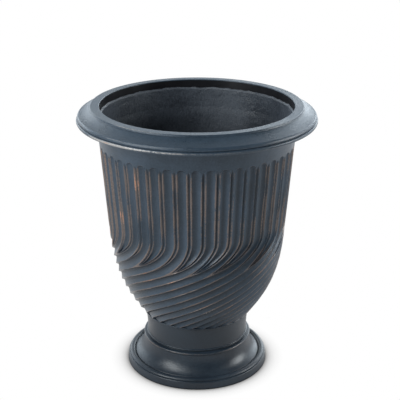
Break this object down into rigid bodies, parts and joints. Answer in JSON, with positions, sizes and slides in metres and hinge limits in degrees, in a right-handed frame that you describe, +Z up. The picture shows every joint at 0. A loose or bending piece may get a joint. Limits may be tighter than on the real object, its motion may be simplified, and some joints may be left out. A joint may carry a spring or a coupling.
{
  "type": "urn planter",
  "caption": "Floor-standing urn planter: fluted bowl whose flutes turn into a swirl, moulded overhanging rim, hollow pedestal foot and a lift-out drain plug.",
  "frame": {"origin": "on the ground under the centre of the foot", "axes": "+Z up, along the axis of the bowl; the front faces -Y and +X is to the viewer's right"},
  "size_m": [0.477, 0.477, 0.56],
  "materials": {
    "painted_resin": "satin slate-blue paint over resin, rubbed through to a bronze tone on the ridges and edges",
    "raw_lay_up": "rough hand-laid glass mat and resin, painted charcoal",
    "black_rubber": "matt moulded rubber"
  },
  "bodies": {
    "planter": {"pedestal": "painted_resin", "bowl_shell": "painted_resin", "rim_ring": "painted_resin", "rim_bond_strip": "raw_lay_up", "neck_bond_strip": "raw_lay_up", "foot_pad_1": "black_rubber", "foot_pad_2": "black_rubber", "foot_pad_3": "black_rubber", "foot_pad_4": "black_rubber"},
    "plug": {"drain_plug": "black_rubber"}
  },
  "joints": [
    {"name": "plug_lift", "type": "slide", "parent": "planter", "child": "plug", "axis": [0, 0, 1], "range_m": [0, 0.46]}
  ]
}
